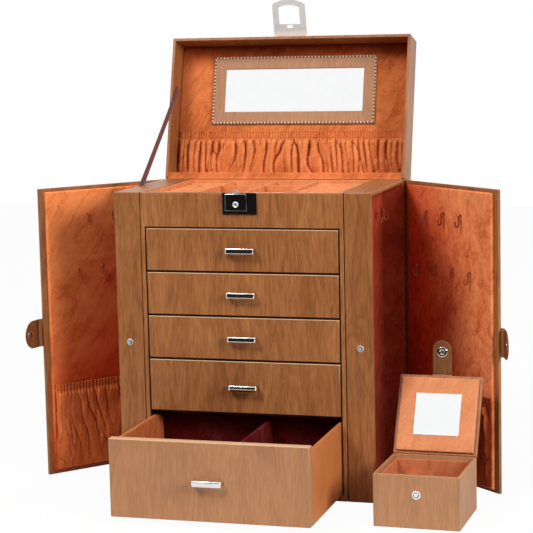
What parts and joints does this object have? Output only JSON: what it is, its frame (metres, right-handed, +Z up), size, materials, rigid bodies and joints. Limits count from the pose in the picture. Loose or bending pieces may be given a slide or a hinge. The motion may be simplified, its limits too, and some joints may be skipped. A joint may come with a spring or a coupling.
{
  "type": "leather jewelry box",
  "caption": "Upright jewellery cabinet with a lid, hinged side doors, drawers, a lock and a small matching travel case.",
  "frame": {"origin": "middle of the cabinet's base, on the surface it stands on", "axes": "+Z up, +X to the right of someone who faces the drawers, +Y from the drawers to the back panel"},
  "size_m": [0.5487, 0.3909, 0.5442],
  "materials": {
    "grain_leather": "tan-brown leather with a fine upright wood grain, slightly glossy",
    "velvet": "terracotta velvet",
    "board": "covered fibreboard",
    "drawer_paper": "smooth orange-tan cover",
    "bright_metal": "polished chrome",
    "dark_metal": "dark polished chrome",
    "mirror_glass": "silvered glass",
    "hook_plastic": "glossy terracotta plastic",
    "ribbon": "dark brown woven ribbon"
  },
  "bodies": {
    "cabinet": {"base_board": "grain_leather", "back_panel": "grain_leather", "left_stile": "grain_leather", "right_stile": "grain_leather", "front_frame": "grain_leather", "side_walls": "board", "shelves": "board", "top_boards": "grain_leather", "compartment_linings": "velvet", "wall_hooks": "hook_plastic", "tray_liner": "velvet", "ring_rolls": "velvet", "lock_plate": "dark_metal", "snap_studs": "bright_metal", "lid_hinge": "grain_leather", "door_hinges": "grain_leather", "ribbon_stay": "ribbon"},
    "lock_cylinder": {"lock_cylinder": "bright_metal"},
    "lock_catch": {"lock_catch": "bright_metal"},
    "drawer_1": {"drawer_1_front": "grain_leather", "drawer_1_box": "drawer_paper", "drawer_1_pull": "bright_metal"},
    "drawer_2": {"drawer_2_front": "grain_leather", "drawer_2_box": "drawer_paper", "drawer_2_pull": "bright_metal"},
    "drawer_3": {"drawer_3_front": "grain_leather", "drawer_3_box": "drawer_paper", "drawer_3_pull": "bright_metal"},
    "drawer_4": {"drawer_4_front": "grain_leather", "drawer_4_box": "drawer_paper", "drawer_4_pull": "bright_metal"},
    "drawer_5": {"drawer_5_front": "grain_leather", "drawer_5_box": "drawer_paper", "drawer_5_lining": "velvet", "drawer_5_pull": "bright_metal"},
    "lid": {"lid_shell": "grain_leather", "lid_lining": "velvet", "lid_mirror_frame": "grain_leather", "lid_mirror": "mirror_glass", "lid_pocket": "velvet", "hasp_bracket": "bright_metal"},
    "hasp": {"hasp": "bright_metal"},
    "left_door": {"left_door_board": "grain_leather", "left_door_pad": "velvet", "left_door_hooks": "hook_plastic", "left_door_pocket": "velvet"},
    "left_strap": {"left_door_strap": "grain_leather"},
    "right_door": {"right_door_board": "grain_leather", "right_door_pad": "velvet", "right_door_hooks": "hook_plastic", "right_door_pocket": "velvet"},
    "right_strap": {"right_door_strap": "grain_leather"},
    "travel_case": {"case_shell": "grain_leather", "case_liner": "velvet", "case_snap_stud": "bright_metal", "case_hinge": "grain_leather"},
    "case_lid": {"case_lid": "grain_leather", "case_lid_pad": "velvet", "case_mirror": "mirror_glass"},
    "case_strap": {"case_strap": "grain_leather"}
  },
  "joints": [
    {"name": "lid_hinge", "type": "hinge", "parent": "cabinet", "child": "lid", "pos_m": [0, 0.0852, 0.3362], "axis": [-1, 0, 0], "range_deg": [-105, 0], "deforming": ["ribbon_stay"]},
    {"name": "left_door_hinge", "type": "hinge", "parent": "cabinet", "child": "left_door", "pos_m": [-0.1452, 0.0852, 0], "axis": [0, 0, -1], "range_deg": [-39.4, 50.6]},
    {"name": "right_door_hinge", "type": "hinge", "parent": "cabinet", "child": "right_door", "pos_m": [0.1452, 0.0852, 0], "axis": [0, 0, 1], "range_deg": [-48, 42]},
    {"name": "drawer_1_slide", "type": "slide", "parent": "cabinet", "child": "drawer_1", "axis": [0, -1, 0], "range_m": [0, 0.133]},
    {"name": "drawer_2_slide", "type": "slide", "parent": "cabinet", "child": "drawer_2", "axis": [0, -1, 0], "range_m": [0, 0.133]},
    {"name": "drawer_3_slide", "type": "slide", "parent": "cabinet", "child": "drawer_3", "axis": [0, -1, 0], "range_m": [0, 0.133]},
    {"name": "drawer_4_slide", "type": "slide", "parent": "cabinet", "child": "drawer_4", "axis": [0, -1, 0], "range_m": [0, 0.133]},
    {"name": "drawer_5_slide", "type": "slide", "parent": "cabinet", "child": "drawer_5", "axis": [0, -1, 0], "range_m": [-0.133, 0]},
    {"name": "hasp_pin", "type": "hinge", "parent": "lid", "child": "hasp", "pos_m": [-0.003, 0.14575, 0.49918], "axis": [-1, 0, 0], "range_deg": [-63, 100]},
    {"name": "key_turn", "type": "hinge", "parent": "cabinet", "child": "lock_cylinder", "pos_m": [-0.003, -0.0905, 0.3237], "axis": [0, 1, 0], "range_deg": [0, 90]},
    {"name": "catch_slide", "type": "slide", "parent": "cabinet", "child": "lock_catch", "axis": [0, 0, -1], "range_m": [0, 0.0038]},
    {"name": "left_strap_fold", "type": "hinge", "parent": "left_door", "child": "left_strap", "pos_m": [-0.2581, -0.04452, 0.169], "axis": [0, 0, 1], "range_deg": [-30, 60]},
    {"name": "right_strap_fold", "type": "hinge", "parent": "right_door", "child": "right_strap", "pos_m": [0.27622, -0.02618, 0.169], "axis": [0, 0, -1], "range_deg": [-30, 60]},
    {"name": "case_slide", "type": "slide", "parent": "cabinet", "child": "travel_case", "axis": [0, -1, 0], "range_m": [-0.1094, 0.125]},
    {"name": "case_lid_hinge", "type": "hinge", "parent": "travel_case", "child": "case_lid", "pos_m": [0.1647, -0.08312, 0.0562], "axis": [-0.9997, 0.0227, 0], "range_deg": [-116.5, 0]},
    {"name": "case_strap_fold", "type": "hinge", "parent": "case_lid", "child": "case_strap", "pos_m": [0.21119, -0.03985, 0.13456], "axis": [0.9997, -0.0227, 0], "range_deg": [-26.5, 63.5]}
  ],
  "couplings": [
    {"joint": "key_turn", "follows": "catch_slide", "rad_per_m": 413.37},
    {"joint": "case_slide", "follows": "right_door_hinge", "m_per_rad": -0.149}
  ]
}
